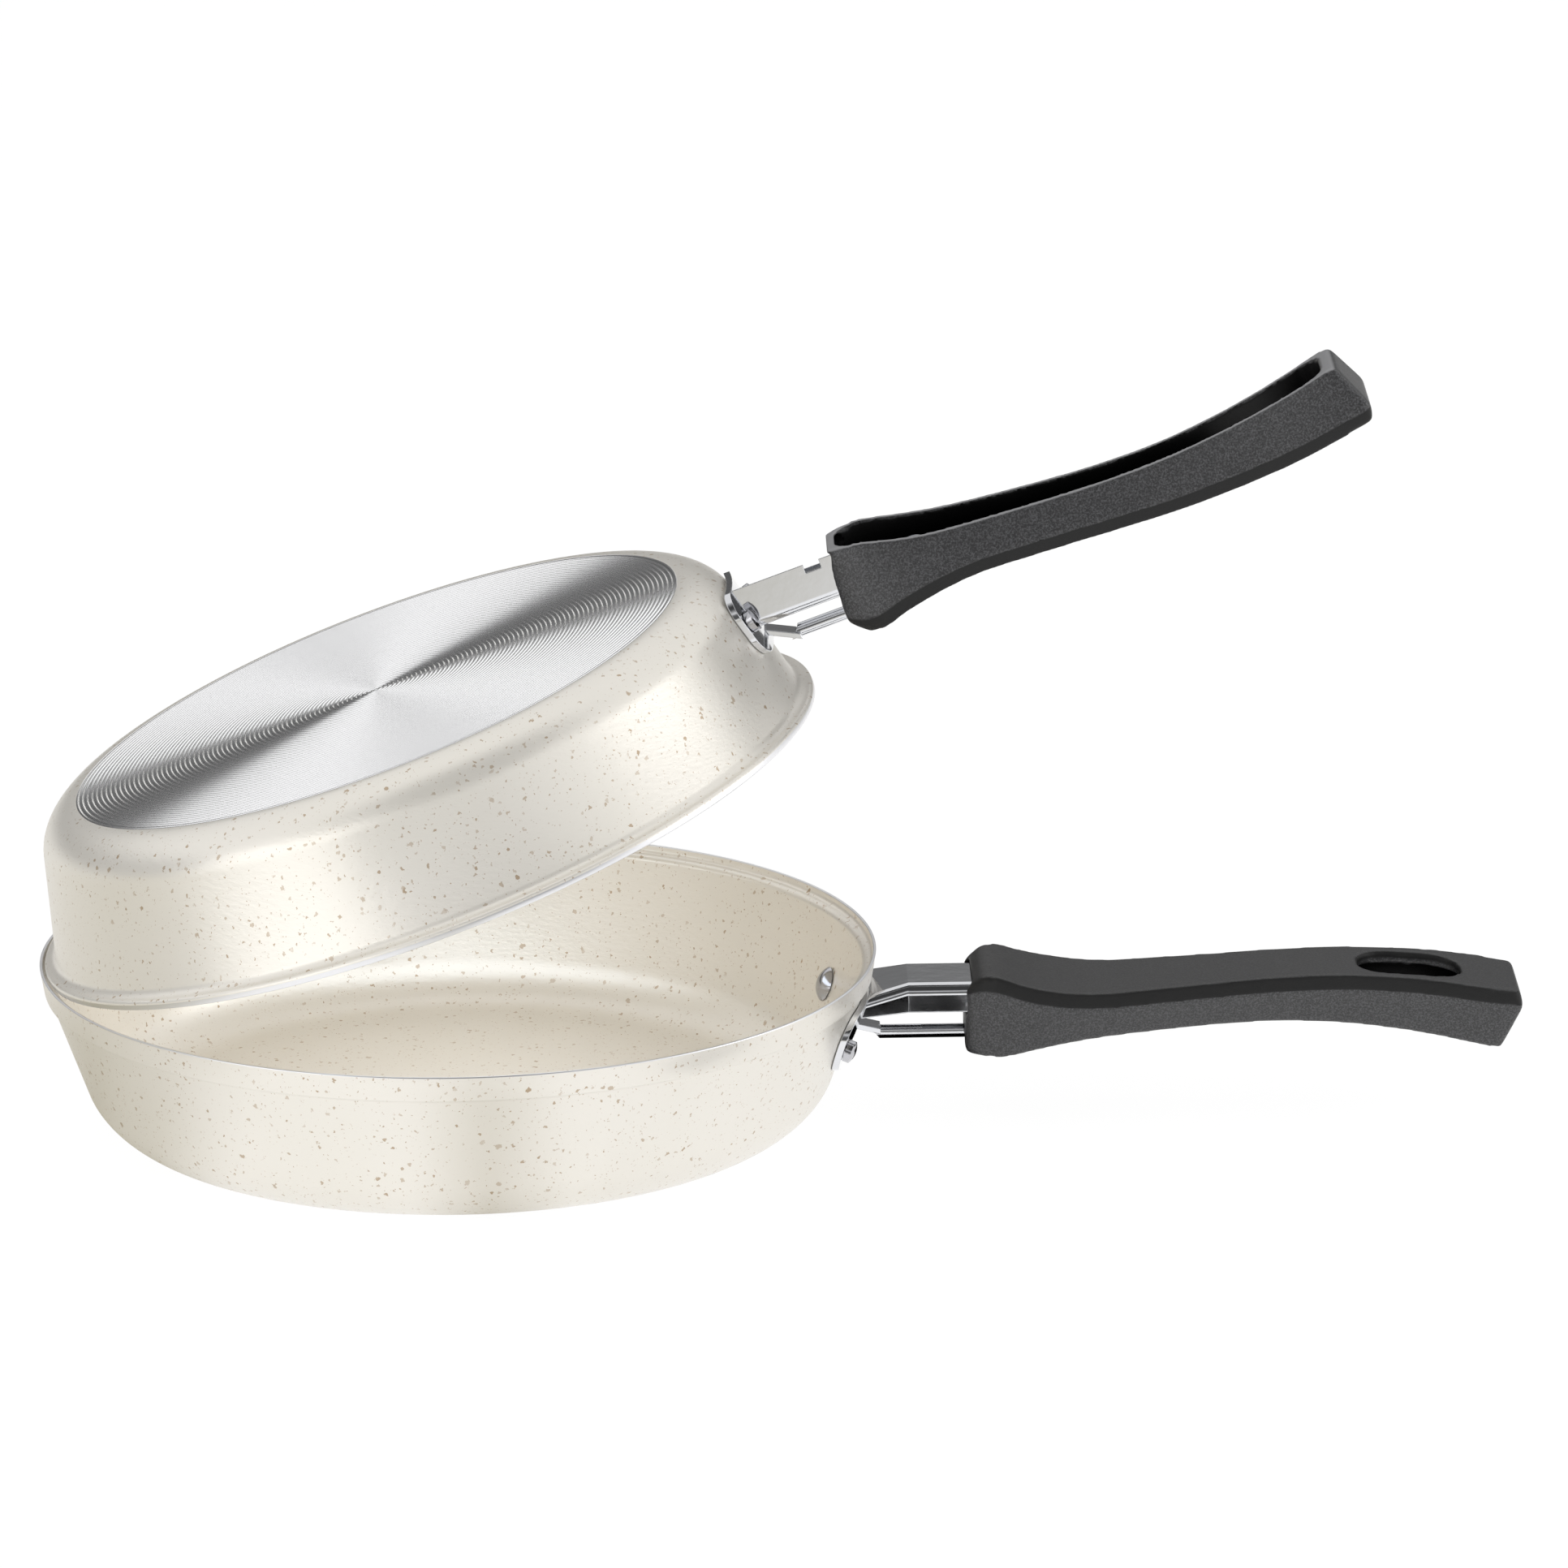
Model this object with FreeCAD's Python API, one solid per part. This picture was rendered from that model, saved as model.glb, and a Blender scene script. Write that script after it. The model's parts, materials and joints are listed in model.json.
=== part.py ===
import FreeCAD, Part
import math
import os
from types import SimpleNamespace

Vector = FreeCAD.Vector

os.makedirs("parts", exist_ok=True)

# A double sided flip pan: two shallow aluminium frying pans that close face to face.
# The lower pan stands on its base, centred on the origin, with its handle along +X.
# The upper pan nests in the lower pan's rim band and tips open on the rim opposite the handles.
# All lengths are in millimetres and all angles in degrees.

# Clearances used everywhere
cut_overrun = 5.0
running_gap = 0.3
seat_gap = 0.2

# Pressed aluminium of both pans
pan_wall = 2.4
base_wall = 3.2
inner_corner_r = 11.0

# Lower pan: leaning wall, then a stepped band whose bore takes the upper pan
lower_height = 42.2
lower_rim_r = 102.0
lower_lean = 19.7
lower_corner_r = 17.8
band_depth = 6.4
band_taper = 1.1
band_step = 1.0
band_edge_r = 0.4
rim_wall = 0.8
nest_depth = 2.15
nest_play = 1.5
ledge_width = 2.9

# Upper pan, described standing on its own base, with a short skirt that enters the band
upper_height = 37.2
upper_lean = 14.9
upper_corner_r = 12.2
skirt_height = 2.2
skirt_edge_r = 0.9
flange_width = 3.2
flange_fillet_r = 2.4
mouth_edge = 2.0
mouth_depth = 2.4

# The upper pan lies slid across its play, away from the handles, and is shown tipped open
rest_slide = 0.5
rest_open = 19.5

# Pressed steel plates that hug the pan walls, each wider at one end. The lower plate's places
# are measured down from the rim, and the upper plate's from the base.
plate_t = 1.5
plate_corner_r = 6.0
lower_plate_high_drop = 10.2
lower_plate_low_drop = 24.7
lower_plate_low_half_w = 26.5
lower_plate_high_half_w = 31.0
upper_plate_low = 4.6
upper_plate_high = 21.6
upper_plate_low_half_w = 16.0
upper_plate_high_half_w = 15.5

# Rivets through wall and plate, with a broad dome inside the pan and a set head outside
rivet_shank_r = 2.0
rivet_dome_r = 4.3
rivet_dome_h = 2.0
set_head_r = 2.8
set_head_side = 1.5
set_head_h = 2.3
lower_rivet_y = 25.0
lower_rivet_drop = 18.2
upper_rivet_y = 12.0
upper_rivet_z = 13.0

# Folded sheet channels that carry the grips
sheet_t = 1.2
bend_r = 2.5
lower_channel_half_w = 10.2
lower_channel_drop = 7.4
lower_channel_depth = 6.9
flare_length = 9.2
flare_half_w = 14.5
flare_drop = 3.5
flare_rise = 0.5
upper_channel_half_w = 8.7
upper_channel_top = 15.6
upper_channel_depth = 11.2
upper_channel_back_depth = 5.7
notch_length = 4.0
notch_depth = 2.3
notch_from_grip = 1.4

# Support rods under the channels, drawn out to a flat spade that slants to the plate
rod_r = 1.7
spade_t = 1.4
spade_half_w = 3.2
spade_length = 6.5
spade_slope = 2.6
spade_rise = 0.2
lower_rod_drop = 22.1
lower_spade_slant = 1.6
upper_rod_z = 21.5
upper_spade_slant = -3.3

# Tangs: flat bars spot-welded in the channels and screwed to the grips
tang_t = 3.0
tang_half_w = 5.0
tang_weld_length = 10.0
tang_length = 30.0
joggle_start = 7.0
joggle_end = 13.0

# Moulded grips; depths are measured from the highest point of the guard
grip_length = 136.0
grip_depth = 21.9
grip_width = 31.4
grip_wall = 2.0
grip_closed_wall = 3.0
grip_front_wall = 4.0
chamfer_height = 3.6
chamfer_run = 0.8
side_taper = 3.8
front_bevel_depth = 3.8
front_bevel_length = 5.0
tail_top_bevel = 2.2
tail_bottom_bevel = 5.3
tail_tip_depth = 10.3
lower_grip_reach = 21.3
lower_grip_drop = 3.9
upper_grip_reach = 14.0
upper_grip_top = 25.2

# The upper handle leans this much towards its pan's base
upper_handle_lean = 0.6

# Sections of a grip: place along it, depth of the closed face, depth of the open edge,
# and half the width of the closed face, as shares of the grip's length, depth and width
grip_section_shares = (
    (0.000, 0.090, 0.985, 0.355),
    (0.018, 0.030, 1.000, 0.415),
    (0.042, 0.014, 1.005, 0.455),
    (0.072, 0.045, 0.985, 0.485),
    (0.106, 0.115, 0.935, 0.500),
    (0.160, 0.186, 0.858, 0.504),
    (0.225, 0.227, 0.795, 0.480),
    (0.315, 0.209, 0.741, 0.445),
    (0.450, 0.150, 0.677, 0.410),
    (0.584, 0.095, 0.655, 0.393),
    (0.712, 0.091, 0.705, 0.399),
    (0.824, 0.136, 0.805, 0.425),
    (0.914, 0.214, 0.923, 0.448),
    (0.966, 0.264, 0.995, 0.442),
    (1.000, 0.295, 1.027, 0.422),
)
# The hollow's plan is rounded off at both ends: share of the rounding's length and of the width
hollow_end_shares = (
    (0.00, 0.55),
    (0.12, 0.75),
    (0.40, 0.92),
    (1.00, 1.00),
)
hollow_end_length = 5.0
hollow_tail_wall = 8.7

# Hanging slot through the closed face near the tail
slot_length = 25.0
slot_width = 17.5
slot_from_tail = 27.2
slot_corner_r = 7.6

# Boss inside the grip, its threaded insert, and the screw and washer that hold the tang
boss_start = 13.5
boss_length = 13.0
boss_half_w = 6.5
boss_face_depth = 8.8
insert_r = 3.0
insert_length = 3.6
screw_r = 2.0
screw_head_r = 3.8
screw_head_h = 2.4
washer_r = 4.4
washer_t = 0.8
thread_gap = 0.05

# Places that follow from the sizes above
band_bore_r = lower_rim_r - rim_wall
flange_r = band_bore_r - nest_play
ledge_z = lower_height - nest_depth
closed_flange_z = ledge_z + running_gap
pivot = Vector(-flange_r - rest_slide, 0, closed_flange_z)
lower_channel_top = lower_height - lower_channel_drop
lower_rod_z = lower_height - lower_rod_drop
lower_rivet_z = lower_height - lower_rivet_drop


def tangent(angle):
    return math.tan(math.radians(angle))


def cosine(angle):
    return math.cos(math.radians(angle))


def sine(angle):
    return math.sin(math.radians(angle))


def rounded_outline(corners):
    """A closed face from (point, radius) corners, each corner rounded by its radius."""
    count = len(corners)
    ends = []
    for index in range(count):
        point, radius = corners[index]
        before = (corners[index - 1][0] - point).normalize()
        after = (corners[(index + 1) % count][0] - point).normalize()
        if radius == 0:
            ends.append((point, point, None))
            continue
        half = before.getAngle(after) / 2
        reach = radius / math.tan(half)
        middle_way = (before + after).normalize()
        middle = point + middle_way * (radius / math.sin(half) - radius)
        ends.append((point + before * reach, point + after * reach, middle))
    edges = []
    for index in range(count):
        start, finish, middle = ends[index]
        if middle is not None:
            edges.append(Part.Arc(start, middle, finish).toShape())
        following = ends[(index + 1) % count][0]
        edges.append(Part.LineSegment(finish, following).toShape())
    return Part.Face(Part.Wire(edges))


def turned(corners):
    """A solid of revolution about Z from (radius, height, rounding) corners."""
    face = rounded_outline([(Vector(r, 0, z), rounding) for r, z, rounding in corners])
    return face.revolve(Vector(0, 0, 0), Vector(0, 0, 1), 360)


def block(x_low, x_high, y_low, y_high, z_low, z_high):
    size = Vector(x_high - x_low, y_high - y_low, z_high - z_low)
    return Part.makeBox(size.x, size.y, size.z, Vector(x_low, y_low, z_low))


def side_prism(points, half_width):
    """Points (x, z) of a side view, extruded across the handle."""
    corners = [(Vector(x, -half_width, z), 0) for x, z in points]
    return rounded_outline(corners).extrude(Vector(0, 2 * half_width, 0))


# Each pan in its own frame, standing on its base with its handle along +X
lower = SimpleNamespace(
    name="lower",
    height=lower_height,
    lean=lower_lean,
    corner_r=lower_corner_r,
    wall_top_r=lower_rim_r - band_taper - band_step,
    wall_top_z=lower_height - band_depth,
    plate_low=lower_height - lower_plate_low_drop,
    plate_high=lower_height - lower_plate_high_drop,
    plate_low_half_w=lower_plate_low_half_w,
    plate_high_half_w=lower_plate_high_half_w,
    rivets={
        "rivet_left": (lower_rivet_y, lower_rivet_z),
        "rivet_right": (-lower_rivet_y, lower_rivet_z),
    },
    channel_half_w=lower_channel_half_w,
    channel_top=lower_channel_top,
    front_depth=lower_channel_depth,
    back_depth=lower_channel_depth,
    rod_z=lower_rod_z,
    spade_slant=lower_spade_slant,
    grip_front=lower_rim_r + lower_grip_reach,
    grip_top=lower_height - lower_grip_drop,
    handle_lean=0,
)
upper = SimpleNamespace(
    name="upper",
    height=upper_height,
    lean=upper_lean,
    corner_r=upper_corner_r,
    wall_top_r=flange_r - flange_width,
    wall_top_z=upper_height - skirt_height,
    plate_low=upper_plate_low,
    plate_high=upper_plate_high,
    plate_low_half_w=upper_plate_low_half_w,
    plate_high_half_w=upper_plate_high_half_w,
    rivets={
        "rivet_left": (upper_rivet_y, upper_rivet_z),
        "rivet_right": (-upper_rivet_y, upper_rivet_z),
    },
    channel_half_w=upper_channel_half_w,
    channel_top=upper_channel_top,
    front_depth=upper_channel_back_depth,
    back_depth=upper_channel_depth,
    rod_z=upper_rod_z,
    spade_slant=upper_spade_slant,
    grip_front=flange_r + upper_grip_reach,
    grip_top=upper_grip_top,
    handle_lean=upper_handle_lean,
)


def wall_r(pan, z, offset=0):
    """Radius of a pan's wall line at a height, moved outwards by an offset normal to it."""
    line = pan.wall_top_r - (pan.wall_top_z - z) * tangent(pan.lean)
    return line + offset / cosine(pan.lean)


def wall_z(pan, r, offset=0):
    """Height at which a pan's moved wall line reaches a radius."""
    return (r - wall_r(pan, 0, offset)) / tangent(pan.lean)


def inner_corners(pan):
    """The inside of a pan, from the wall's foot to the middle of its floor."""
    return [
        (wall_r(pan, base_wall, -pan_wall), base_wall, inner_corner_r),
        (0, base_wall, 0),
    ]


def outer_corners(pan):
    """The outside of a pan, from the middle of its base to the wall's foot."""
    return [(0, 0, 0), (wall_r(pan, 0), 0, pan.corner_r)]


def rivet_placement(pan, y, z):
    """Turns a rivet's own +Z into the wall's outward normal at its hole."""
    radius = wall_r(pan, z)
    around = math.degrees(math.asin(y / radius))
    tip = FreeCAD.Rotation(Vector(0, 1, 0), 90 + pan.lean)
    turn = FreeCAD.Rotation(Vector(0, 0, 1), around)
    where = turn.multVec(Vector(radius, 0, z))
    return FreeCAD.Placement(where, turn.multiply(tip))


def rivet_holes(pan):
    """Cylinders through wall and plate where the rivets go."""
    holes = []
    for y, z in pan.rivets.values():
        length = pan_wall + plate_t + 2 * cut_overrun
        start = Vector(0, 0, -pan_wall - cut_overrun)
        hole = Part.makeCylinder(rivet_shank_r + seat_gap, length, start)
        hole.Placement = rivet_placement(pan, y, z)
        holes.append(hole)
    return Part.makeCompound(holes)


def make_lower_pan():
    ledge_r = band_bore_r - ledge_width
    corners = outer_corners(lower) + [
        (lower.wall_top_r, lower.wall_top_z, band_edge_r),
        (lower_rim_r - band_taper, lower.wall_top_z, band_edge_r),
        (lower_rim_r, lower_height, 0),
        (band_bore_r, lower_height, 0),
        (band_bore_r, ledge_z, 0),
        (ledge_r, ledge_z, band_edge_r),
        (ledge_r, wall_z(lower, ledge_r, -pan_wall), 0),
    ]
    return turned(corners + inner_corners(lower)).cut(rivet_holes(lower))


def make_upper_pan():
    mouth_z = upper_height - mouth_depth
    corners = outer_corners(upper) + [
        (upper.wall_top_r, upper.wall_top_z, flange_fillet_r),
        (flange_r, upper.wall_top_z, skirt_edge_r),
        (flange_r, upper_height, 0),
        (flange_r - mouth_edge, upper_height, 0),
        (wall_r(upper, mouth_z, -pan_wall), mouth_z, 0),
    ]
    return turned(corners + inner_corners(upper)).cut(rivet_holes(upper))


def plate_cone(pan, inner, outer):
    """A ring that follows the wall line between two offsets, long enough to be trimmed."""
    low = pan.plate_low - cut_overrun
    high = pan.plate_high + cut_overrun
    return turned([
        (wall_r(pan, low, inner), low, 0),
        (wall_r(pan, low, outer), low, 0),
        (wall_r(pan, high, outer), high, 0),
        (wall_r(pan, high, inner), high, 0),
    ])


def make_plate(pan):
    low, high = pan.plate_low, pan.plate_high
    outline = rounded_outline([
        (Vector(0, -pan.plate_low_half_w, low), plate_corner_r),
        (Vector(0, pan.plate_low_half_w, low), plate_corner_r),
        (Vector(0, pan.plate_high_half_w, high), plate_corner_r),
        (Vector(0, -pan.plate_high_half_w, high), plate_corner_r),
    ])
    window = outline.extrude(Vector(lower_rim_r + cut_overrun, 0, 0))
    ring = plate_cone(pan, seat_gap, seat_gap + plate_t)
    return ring.common(window).cut(rivet_holes(pan))


def keep_off_plate(pan):
    """Everything nearer the pan than the outside of its plate."""
    face = seat_gap + plate_t
    low = pan.plate_low - 2 * cut_overrun
    high = pan.height + cut_overrun
    return turned([
        (0, low, 0),
        (wall_r(pan, low, face), low, 0),
        (wall_r(pan, high, face), high, 0),
        (0, high, 0),
    ])


def dome_middle(radius, rise):
    """Radius and height of the point half way up a spherical dome."""
    dome_r = (radius ** 2 + rise ** 2) / (2 * rise)
    half_way = math.degrees(math.asin(radius / dome_r)) / 2
    return dome_r * sine(half_way), rise - dome_r * (1 - cosine(half_way))


def make_rivet(pan, y, z):
    """A solid rivet: domed inside the pan, set to a small domed drum outside."""
    inside = -pan_wall - 2 * seat_gap
    outside = plate_t + 2 * seat_gap
    drum = outside + set_head_side
    points = [
        Vector(0, 0, inside - rivet_dome_h),
        Vector(rivet_dome_r, 0, inside),
        Vector(rivet_shank_r, 0, inside),
        Vector(rivet_shank_r, 0, outside),
        Vector(set_head_r, 0, outside),
        Vector(set_head_r, 0, drum),
        Vector(0, 0, outside + set_head_h),
    ]
    mid_r, mid_h = dome_middle(rivet_dome_r, rivet_dome_h)
    inner_dome = Part.Arc(points[0], Vector(mid_r, 0, inside - mid_h), points[1])
    mid_r, mid_h = dome_middle(set_head_r, set_head_h - set_head_side)
    outer_dome = Part.Arc(points[5], Vector(mid_r, 0, drum + mid_h), points[6])
    edges = [inner_dome.toShape()]
    edges += [Part.LineSegment(points[n], points[n + 1]).toShape() for n in (1, 2, 3, 4)]
    edges += [outer_dome.toShape(), Part.LineSegment(points[6], points[0]).toShape()]
    rivet = Part.Face(Part.Wire(edges)).revolve(Vector(0, 0, 0), Vector(0, 0, 1), 360)
    rivet.Placement = rivet_placement(pan, y, z)
    return rivet


def lean_handle(pan, shape):
    """Tips a piece of the handle about the place where the channel enters the grip."""
    if pan.handle_lean:
        hub = Vector(pan.grip_front, 0, pan.channel_top)
        shape.rotate(hub, Vector(0, 1, 0), pan.handle_lean)
    return shape


def channel_wire(x, half_w, top, front_depth, back_depth, radius):
    """A channel's section: web on top, front wall at -Y and back wall at +Y."""
    return rounded_outline([
        (Vector(x, -half_w, top - front_depth), 0),
        (Vector(x, -half_w, top), radius),
        (Vector(x, half_w, top), radius),
        (Vector(x, half_w, top - back_depth), 0),
    ]).OuterWire


def channel_part(pan, sheet, drop):
    """The channel's outside, or its inside once a sheet's thickness is taken off."""
    radius = bend_r - sheet
    end = pan.grip_front + grip_front_wall + seat_gap
    front = pan.front_depth - sheet + drop
    back = pan.back_depth - sheet + drop
    half = pan.channel_half_w - sheet
    wires = []
    if pan is lower:
        start = wall_r(pan, pan.plate_low)
        reach = wall_r(pan, pan.plate_high, seat_gap + plate_t)
        foot_depth = front - flare_drop + flare_rise
        wires.append(channel_wire(
            start, flare_half_w - sheet, pan.channel_top - flare_drop - sheet,
            foot_depth, foot_depth, radius))
        wires.append(channel_wire(
            reach + flare_length, half, pan.channel_top - sheet, front, back, radius))
    else:
        start = wall_r(pan, pan.plate_low)
        wires.append(channel_wire(start, half, pan.channel_top - sheet, front, back, radius))
    wires.append(channel_wire(end, half, pan.channel_top - sheet, front, back, radius))
    return Part.makeLoft(wires, True, True)


def make_channel(pan):
    shell = channel_part(pan, 0, 0).cut(channel_part(pan, sheet_t, cut_overrun))
    if pan is upper:
        notch_end = pan.grip_front - notch_from_grip
        free_edge = pan.channel_top - pan.back_depth
        notch = block(
            notch_end - notch_length, notch_end,
            pan.channel_half_w - sheet_t - seat_gap, pan.channel_half_w + cut_overrun,
            free_edge - cut_overrun, free_edge + notch_depth)
        shell = shell.cut(notch)
    return lean_handle(pan, shell).cut(keep_off_plate(pan))


def make_rod(pan):
    """A round rod whose pan end is cut at a slant and drawn out into a slanting spade."""
    foot = wall_r(pan, pan.rod_z, 2 * seat_gap + plate_t)
    end = pan.grip_front + grip_front_wall + seat_gap
    rod = Part.makeCylinder(rod_r, end - foot, Vector(foot, 0, pan.rod_z), Vector(1, 0, 0))
    slant = side_prism([
        (foot - cut_overrun, pan.rod_z + rod_r + cut_overrun),
        (foot - cut_overrun, pan.rod_z - rod_r - cut_overrun),
        (foot + spade_length, pan.rod_z - rod_r - cut_overrun),
        (foot + spade_length, pan.rod_z - rod_r),
        (foot + spade_length - spade_slope, pan.rod_z + rod_r),
        (foot + spade_length - spade_slope, pan.rod_z + rod_r + cut_overrun),
    ], rod_r + cut_overrun)
    near, far = foot + spade_length, foot - spade_length
    level = pan.rod_z + spade_rise
    landing = level + 2 * pan.spade_slant
    spade = side_prism([
        (near, level),
        (near, level + spade_t),
        (far, landing + spade_t),
        (far, landing),
    ], spade_half_w)
    return lean_handle(pan, rod.cut(slant).fuse(spade)).cut(keep_off_plate(pan))


def tang_levels(pan):
    """Upper faces of a tang under its channel's web and under the grip's boss."""
    welded = pan.channel_top - sheet_t
    screwed = pan.grip_top - boss_face_depth - running_gap
    return welded, screwed


def screw_x(pan):
    return pan.grip_front + boss_start + boss_length / 2


def make_tang(pan):
    welded, screwed = tang_levels(pan)
    front = pan.grip_front
    bar = side_prism([
        (front - tang_weld_length, welded),
        (front + joggle_start, welded),
        (front + joggle_end, screwed),
        (front + tang_length, screwed),
        (front + tang_length, screwed - tang_t),
        (front + joggle_end - tang_t / 2, screwed - tang_t),
        (front + joggle_start - tang_t / 2, welded - tang_t),
        (front - tang_weld_length, welded - tang_t),
    ], tang_half_w)
    hole = Part.makeCylinder(
        screw_r + seat_gap, tang_t + 2 * cut_overrun,
        Vector(screw_x(pan), 0, screwed - tang_t - cut_overrun))
    return lean_handle(pan, bar.cut(hole))


def grip_section(share):
    """Closed face depth, open edge depth and half width at a share of the grip's length."""
    rows = grip_section_shares
    for before, after in zip(rows, rows[1:]):
        if share <= after[0]:
            part = (share - before[0]) / (after[0] - before[0])
            values = [a + (b - a) * part for a, b in zip(before[1:], after[1:])]
            return values[0] * grip_depth, values[1] * grip_depth, values[2] * grip_width
    return None


def grip_body(pan):
    wires = []
    for row in grip_section_shares:
        top, bottom, half = row[1] * grip_depth, row[2] * grip_depth, row[3] * grip_width
        x = pan.grip_front + row[0] * grip_length
        upper_half = [
            (half, top),
            (half + chamfer_run, top + chamfer_height),
            (half + chamfer_run - side_taper, bottom),
        ]
        ring = [Vector(x, y, pan.grip_top - depth) for y, depth in upper_half]
        ring += [Vector(x, -y, pan.grip_top - depth) for y, depth in reversed(upper_half)]
        wires.append(Part.makePolygon(ring + ring[:1]))
    return Part.makeLoft(wires, True, False)


def hollow_stations():
    """Places along the grip where the hollow gets a section, each with its width's share."""
    start = grip_front_wall
    end = grip_length - hollow_tail_wall
    first = [(start + share * hollow_end_length, width) for share, width in hollow_end_shares]
    last = [(end - share * hollow_end_length, width) for share, width in hollow_end_shares]
    between = []
    for row in grip_section_shares:
        place = row[0] * grip_length
        if first[-1][0] + grip_wall < place < last[-1][0] - grip_wall:
            between.append((place, 1))
    return first + between + last[::-1]


def grip_hollow(pan):
    wires = []
    for place, width in hollow_stations():
        top, bottom, half = grip_section(place / grip_length)
        side = half + chamfer_run - grip_wall
        slope = side_taper / (bottom - top - chamfer_height)
        high = top + grip_closed_wall
        low = bottom + cut_overrun
        narrow = side - slope * (low - high)
        ring = [
            (side * width, high), (narrow * width, low),
            (-narrow * width, low), (-side * width, high),
        ]
        x = pan.grip_front + place
        points = [Vector(x, y, pan.grip_top - depth) for y, depth in ring]
        wires.append(Part.makePolygon(points + points[:1]))
    return Part.makeLoft(wires, True, True)


def grip_side_cuts(pan):
    """The guard's front bevel and the tail's two bevels, as seen from the side."""
    half = grip_width / 2 + cut_overrun
    front, back = pan.grip_front, pan.grip_front + grip_length
    bevel = side_prism([
        (front - cut_overrun, pan.grip_top + cut_overrun),
        (front - cut_overrun, pan.grip_top - front_bevel_depth),
        (front, pan.grip_top - front_bevel_depth),
        (front + front_bevel_length, pan.grip_top),
        (front + front_bevel_length, pan.grip_top + cut_overrun),
    ], half)
    tip = pan.grip_top - tail_tip_depth
    tail = side_prism([
        (back - tail_top_bevel, pan.grip_top + cut_overrun),
        (back - tail_top_bevel, pan.grip_top),
        (back, tip),
        (back - tail_bottom_bevel, pan.grip_top - grip_depth),
        (back - tail_bottom_bevel, pan.grip_top - grip_depth - cut_overrun),
        (back + cut_overrun, pan.grip_top - grip_depth - cut_overrun),
        (back + cut_overrun, pan.grip_top + cut_overrun),
    ], half)
    return bevel.fuse(tail)


def grip_slot(pan):
    """The hanging slot, a long hole with round corners."""
    middle = pan.grip_front + grip_length - slot_from_tail
    corners = []
    for along, across in ((-1, -1), (1, -1), (1, 1), (-1, 1)):
        corner = Vector(
            middle + along * slot_length / 2, across * slot_width / 2,
            pan.grip_top - grip_depth / 2)
        corners.append((corner, slot_corner_r))
    return rounded_outline(corners).extrude(Vector(0, 0, grip_depth))


def grip_boss(pan):
    """The block that the tang is screwed to, rooted in the closed wall."""
    start = pan.grip_front + boss_start
    face = pan.grip_top - boss_face_depth
    top, bottom, half = grip_section((boss_start + boss_length / 2) / grip_length)
    root = pan.grip_top - top - grip_closed_wall / 2
    solid = block(start, start + boss_length, -boss_half_w, boss_half_w, face, root)
    bore = Part.makeCylinder(
        insert_r + thread_gap, insert_length + cut_overrun,
        Vector(screw_x(pan), 0, face - cut_overrun))
    return solid, bore


def front_openings(pan):
    """Where the channel and the rod enter the grip's front wall."""
    start = pan.grip_front - cut_overrun
    end = pan.grip_front + grip_front_wall + 2 * seat_gap
    half = pan.channel_half_w + running_gap
    low = pan.channel_top - max(pan.front_depth, pan.back_depth) - running_gap
    window = block(start, end, -half, half, low, pan.channel_top + running_gap)
    hole = Part.makeCylinder(
        rod_r + running_gap, end - start, Vector(start, 0, pan.rod_z), Vector(1, 0, 0))
    return window.fuse(hole)


def make_grip(pan):
    boss, bore = grip_boss(pan)
    shell = grip_body(pan).cut(grip_hollow(pan)).cut(grip_side_cuts(pan))
    shell = shell.fuse(boss).cut(bore)
    shell = shell.cut(front_openings(pan)).cut(grip_slot(pan)).removeSplitter()
    return lean_handle(pan, shell)


def make_insert(pan):
    base = Vector(screw_x(pan), 0, pan.grip_top - boss_face_depth)
    barrel = Part.makeCylinder(insert_r, insert_length - thread_gap, base)
    bore = Part.makeCylinder(screw_r + thread_gap, insert_length, base)
    return lean_handle(pan, barrel.cut(bore))


def make_washer(pan):
    top = tang_levels(pan)[1] - tang_t - thread_gap
    base = Vector(screw_x(pan), 0, top - washer_t)
    ring = Part.makeCylinder(washer_r, washer_t, base)
    ring = ring.cut(Part.makeCylinder(screw_r + seat_gap, washer_t, base))
    return lean_handle(pan, ring)


def make_screw(pan):
    """A pan head screw, driven from the hollow side, with a cross recess."""
    seat = tang_levels(pan)[1] - tang_t - washer_t - 2 * thread_gap
    head_low = seat - screw_head_h
    x = screw_x(pan)
    top = pan.grip_top - boss_face_depth + insert_length - 2 * thread_gap
    head = Part.makeCylinder(screw_head_r, screw_head_h, Vector(x, 0, head_low))
    head = head.makeFillet(screw_head_h / 2, [head.Edges[2]])
    shank = Part.makeCylinder(screw_r, top - seat, Vector(x, 0, seat))
    arm = screw_head_r / 2
    thick = screw_r / 6
    low = head_low - cut_overrun
    deep = head_low + screw_head_h / 2
    recess = block(x - arm, x + arm, -thick, thick, low, deep)
    recess = recess.fuse(block(x - thick, x + thick, -arm, arm, low, deep))
    return lean_handle(pan, head.fuse(shank).cut(recess))


def stand(pan, shape):
    """Moves a shape from its pan's own frame to where it stands at rest."""
    if pan is lower:
        return shape
    placed = shape.copy()
    placed.rotate(Vector(0, 0, 0), Vector(1, 0, 0), 180)
    placed.translate(Vector(-rest_slide, 0, closed_flange_z + upper_height))
    placed.rotate(pivot, Vector(0, -1, 0), rest_open)
    return placed


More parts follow.
